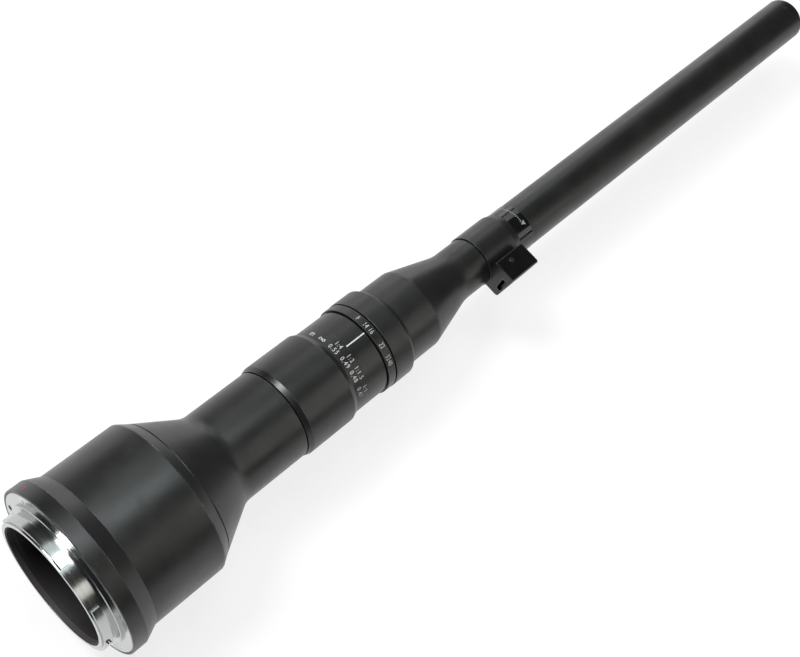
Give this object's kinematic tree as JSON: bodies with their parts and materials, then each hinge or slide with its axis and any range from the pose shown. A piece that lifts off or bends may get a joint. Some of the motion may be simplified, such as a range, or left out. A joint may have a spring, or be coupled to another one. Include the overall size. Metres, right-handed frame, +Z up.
{
  "type": "probe macro lens",
  "caption": "Long thin probe macro lens with a bayonet mount, focus and aperture rings, a bladed iris, a tapered barrel and a lamp box that feeds a lamp ring at the tip.",
  "frame": {"origin": "centre of the mount's seating face", "axes": "+X along the optical axis toward the tip, +Z up through the white index line"},
  "size_m": [0.4299, 0.0666, 0.0666],
  "materials": {
    "mount_chrome": "bright satin chrome plating",
    "screw_steel": "bright steel",
    "throat_black": "matt black anodised",
    "satin_black": "satin black anodised",
    "ring_black": "satin black anodised",
    "inner_black": "matt black anodised",
    "inner_metal": "dark anodised, turned",
    "brass": "turned brass",
    "blade_steel": "blackened spring steel",
    "lens_glass": "coated optical glass",
    "gloss_black": "gloss black",
    "box_black": "satin black anodised",
    "seal_rubber": "black rubber",
    "board_green": "green solder mask",
    "lamp_white": "lamp chip",
    "window_clear": "frosted clear",
    "ribbon_amber": "polyimide ribbon",
    "socket_metal": "bright stamped shell",
    "tongue_black": "black",
    "button_black": "satin black"
  },
  "bodies": {
    "lens_barrel": {"bayonet_mount": "mount_chrome", "mount_screws": "screw_steel", "coupling_pin": "mount_chrome", "throat_ring": "throat_black", "mount_collar": "satin_black", "rear_housing": "satin_black", "rear_cell": "inner_black", "rear_lenses": "lens_glass", "rear_retainer": "inner_black", "main_barrel": "inner_metal", "index_ring": "ring_black", "iris_base": "inner_metal", "iris_retainer": "inner_black", "front_collar": "ring_black", "taper_barrel": "satin_black", "stop_lenses": "lens_glass", "relay_tube": "inner_black", "relay_lenses": "lens_glass", "relay_spacers": "inner_black", "lamp_sleeve": "satin_black", "marking_band": "gloss_black", "probe_tube": "satin_black", "objective_cell": "inner_black", "objective_lenses": "lens_glass", "front_lens": "lens_glass", "nose_ring": "satin_black", "nose_seal": "seal_rubber", "lamp_board": "board_green", "lamps": "lamp_white", "lamp_window": "window_clear", "lamp_ribbon": "ribbon_amber", "lamp_box": "box_black", "lamp_box_cover": "gloss_black", "supply_socket": "socket_metal", "socket_tongue": "tongue_black", "supply_board": "board_green", "lamp_switch": "socket_metal", "box_screws": "screw_steel"},
    "focus_ring": {"focus_ring": "ring_black", "focus_cam_sleeve": "brass", "focus_key": "screw_steel"},
    "focus_carriage": {"focus_carriage": "inner_metal", "cam_followers": "brass", "focus_lenses": "lens_glass", "focus_retainer": "inner_black"},
    "aperture_ring": {"aperture_ring": "ring_black", "aperture_key": "screw_steel", "iris_drive_ring": "brass"},
    "lamp_button": {"lamp_button": "button_black"},
    "iris_blade_1": {"iris_blade_1": "blade_steel"},
    "iris_blade_2": {"iris_blade_2": "blade_steel"},
    "iris_blade_3": {"iris_blade_3": "blade_steel"},
    "iris_blade_4": {"iris_blade_4": "blade_steel"},
    "iris_blade_5": {"iris_blade_5": "blade_steel"},
    "iris_blade_6": {"iris_blade_6": "blade_steel"},
    "iris_blade_7": {"iris_blade_7": "blade_steel"}
  },
  "joints": [
    {"name": "focus_turn", "type": "hinge", "parent": "lens_barrel", "child": "focus_ring", "pos_m": [0.105, 0, 0], "axis": [1, 0, 0], "range_deg": [-108, 26.2]},
    {"name": "focus_slide", "type": "slide", "parent": "lens_barrel", "child": "focus_carriage", "axis": [1, 0, 0], "range_m": [-0.00098, 0.00403]},
    {"name": "aperture_turn", "type": "hinge", "parent": "lens_barrel", "child": "aperture_ring", "pos_m": [0.133, 0, 0], "axis": [1, 0, 0], "range_deg": [-47.1, 5.7]},
    {"name": "blade_1_swing", "type": "hinge", "parent": "lens_barrel", "child": "iris_blade_1", "pos_m": [0.13, 0, 0.0118], "axis": [1, 0, 0], "range_deg": [-2.29, 18.75]},
    {"name": "blade_2_swing", "type": "hinge", "parent": "lens_barrel", "child": "iris_blade_2", "pos_m": [0.13, -0.00923, 0.00736], "axis": [1, 0, 0], "range_deg": [-2.29, 18.75]},
    {"name": "blade_3_swing", "type": "hinge", "parent": "lens_barrel", "child": "iris_blade_3", "pos_m": [0.13, -0.0115, -0.00263], "axis": [1, 0, 0], "range_deg": [-2.29, 18.75]},
    {"name": "blade_4_swing", "type": "hinge", "parent": "lens_barrel", "child": "iris_blade_4", "pos_m": [0.13, -0.00512, -0.01063], "axis": [1, 0, 0], "range_deg": [-2.29, 18.75]},
    {"name": "blade_5_swing", "type": "hinge", "parent": "lens_barrel", "child": "iris_blade_5", "pos_m": [0.13, 0.00512, -0.01063], "axis": [1, 0, 0], "range_deg": [-2.29, 18.75]},
    {"name": "blade_6_swing", "type": "hinge", "parent": "lens_barrel", "child": "iris_blade_6", "pos_m": [0.13, 0.0115, -0.00263], "axis": [1, 0, 0], "range_deg": [-2.29, 18.75]},
    {"name": "blade_7_swing", "type": "hinge", "parent": "lens_barrel", "child": "iris_blade_7", "pos_m": [0.13, 0.00923, 0.00736], "axis": [1, 0, 0], "range_deg": [-2.29, 18.75]},
    {"name": "lamp_button_press", "type": "slide", "parent": "lens_barrel", "child": "lamp_button", "axis": [0, 0, -1], "range_m": [0, 0.00035], "stiffness_N_per_m": 100}
  ],
  "couplings": [
    {"joint": "focus_slide", "follows": "focus_turn", "m_per_rad": -0.0021347},
    {"joint": "blade_1_swing", "follows": "aperture_turn", "ratio": -0.39766},
    {"joint": "blade_2_swing", "follows": "aperture_turn", "ratio": -0.39766},
    {"joint": "blade_3_swing", "follows": "aperture_turn", "ratio": -0.39766},
    {"joint": "blade_4_swing", "follows": "aperture_turn", "ratio": -0.39766},
    {"joint": "blade_5_swing", "follows": "aperture_turn", "ratio": -0.39766},
    {"joint": "blade_6_swing", "follows": "aperture_turn", "ratio": -0.39766},
    {"joint": "blade_7_swing", "follows": "aperture_turn", "ratio": -0.39766}
  ]
}
